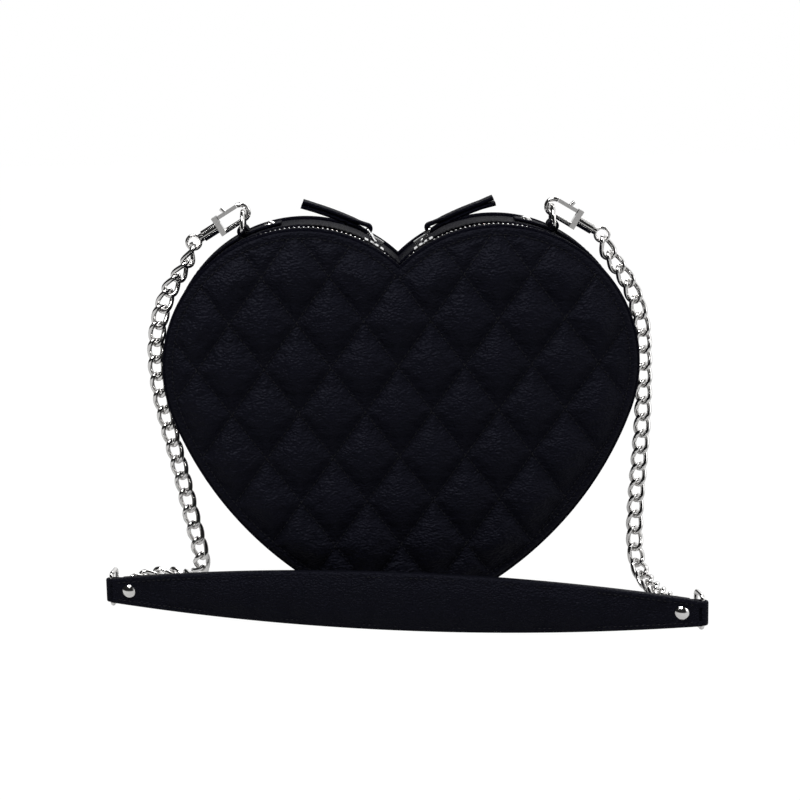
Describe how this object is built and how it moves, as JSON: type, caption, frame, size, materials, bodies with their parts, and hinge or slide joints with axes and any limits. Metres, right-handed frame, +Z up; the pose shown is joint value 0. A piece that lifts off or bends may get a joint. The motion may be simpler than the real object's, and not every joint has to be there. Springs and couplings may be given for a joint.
{
  "type": "heart shaped purse",
  "caption": "Heart shaped quilted leather purse with a two-way zip over its top and a detachable chain strap with a leather shoulder pad, clipped to D-rings on both lobes.",
  "frame": {"origin": "on the floor under the heart's tip, half way through the bag's depth", "axes": "+X to the right as seen from the front, +Y to the back, +Z up"},
  "size_m": [0.3065, 0.1269, 0.2148],
  "materials": {
    "leather": "pebbled, semi-matte",
    "padding": "foam wadding",
    "board": "stiff board",
    "lining": "woven lining",
    "zip_tape": "woven tape",
    "zip_metal": "polished nickel",
    "hardware": "polished nickel"
  },
  "bodies": {
    "bag": {"front_panel": "leather", "back_panel": "leather", "gusset_lower": "leather", "zip_strip_front": "leather", "zip_strip_back": "leather", "piping_front": "leather", "piping_back": "leather", "chape_left": "leather", "chape_right": "leather", "side_tab_left": "leather", "side_tab_right": "leather", "front_padding": "padding", "front_backing": "board", "back_stiffener": "board", "lining_front": "lining", "lining_back": "lining", "lining_gusset": "lining", "zip_tape_front": "zip_tape", "zip_tape_back": "zip_tape", "zip_teeth_front": "zip_metal", "zip_teeth_back": "zip_metal", "zip_stops": "zip_metal", "anchor_rivets": "hardware", "clasp_hook_left": "hardware", "clasp_hook_right": "hardware", "trigger_pin_left": "hardware", "trigger_pin_right": "hardware"},
    "strap": {"chain_left": "hardware", "chain_right": "hardware", "strap_ring_left": "hardware", "strap_ring_right": "hardware", "strap_outer": "leather", "strap_core": "padding", "strap_backing": "leather", "strap_rivets": "hardware"},
    "slider_right": {"zip_slider_right": "zip_metal"},
    "puller_right": {"zip_puller_right": "zip_metal"},
    "tab_right": {"pull_tab_right": "leather"},
    "ring_right": {"d_ring_right": "hardware"},
    "trigger_right": {"clasp_trigger_right": "hardware"},
    "swivel_right": {"clasp_swivel_right": "hardware"},
    "slider_left": {"zip_slider_left": "zip_metal"},
    "puller_left": {"zip_puller_left": "zip_metal"},
    "tab_left": {"pull_tab_left": "leather"},
    "ring_left": {"d_ring_left": "hardware"},
    "trigger_left": {"clasp_trigger_left": "hardware"},
    "swivel_left": {"clasp_swivel_left": "hardware"}
  },
  "joints": [
    {"name": "strap_swing", "type": "hinge", "parent": "bag", "child": "strap", "pos_m": [0, 0.012, 0.18892], "axis": [-1, 0, 0], "range_deg": [0, 85]},
    {"name": "slider_right_travel", "type": "hinge", "parent": "bag", "child": "slider_right", "pos_m": [0.05, -0.006, 0.13101], "axis": [0, 1, 0], "range_deg": [0, 97]},
    {"name": "puller_right_lift", "type": "hinge", "parent": "slider_right", "child": "puller_right", "pos_m": [0.01209, -0.006, 0.19292], "axis": [0, -1, 0], "range_deg": [0, 35]},
    {"name": "tab_right_lift", "type": "hinge", "parent": "puller_right", "child": "tab_right", "pos_m": [0.0161, -0.006, 0.19985], "axis": [0, -1, 0], "range_deg": [0, 20]},
    {"name": "ring_right_tilt", "type": "hinge", "parent": "bag", "child": "ring_right", "pos_m": [0.08125, 0.012, 0.19803], "axis": [0, 1, 0], "range_deg": [0, 3]},
    {"name": "trigger_right_press", "type": "hinge", "parent": "bag", "child": "trigger_right", "pos_m": [0.0959, 0.012, 0.20402], "axis": [0, -1, 0], "range_deg": [0, 15], "stiffness_Nm_per_rad": 0.02, "springref_deg": -8.59},
    {"name": "swivel_right_turn", "type": "hinge", "parent": "bag", "child": "swivel_right", "pos_m": [0.1075, 0.012, 0.19231], "axis": [-0.855, 0, 0.5185], "range_deg": [0, 10]},
    {"name": "slider_left_travel", "type": "hinge", "parent": "bag", "child": "slider_left", "pos_m": [-0.05, -0.006, 0.13101], "axis": [0, -1, 0], "range_deg": [0, 97]},
    {"name": "puller_left_lift", "type": "hinge", "parent": "slider_left", "child": "puller_left", "pos_m": [-0.01209, -0.006, 0.19292], "axis": [0, 1, 0], "range_deg": [0, 35]},
    {"name": "tab_left_lift", "type": "hinge", "parent": "puller_left", "child": "tab_left", "pos_m": [-0.0161, -0.006, 0.19985], "axis": [0, 1, 0], "range_deg": [0, 20]},
    {"name": "ring_left_tilt", "type": "hinge", "parent": "bag", "child": "ring_left", "pos_m": [-0.08125, 0.012, 0.19803], "axis": [0, -1, 0], "range_deg": [0, 3]},
    {"name": "trigger_left_press", "type": "hinge", "parent": "bag", "child": "trigger_left", "pos_m": [-0.0959, 0.012, 0.20402], "axis": [0, 1, 0], "range_deg": [0, 15], "stiffness_Nm_per_rad": 0.02, "springref_deg": -8.59},
    {"name": "swivel_left_turn", "type": "hinge", "parent": "bag", "child": "swivel_left", "pos_m": [-0.1075, 0.012, 0.19231], "axis": [-0.855, 0, -0.5185], "range_deg": [0, 10]}
  ]
}
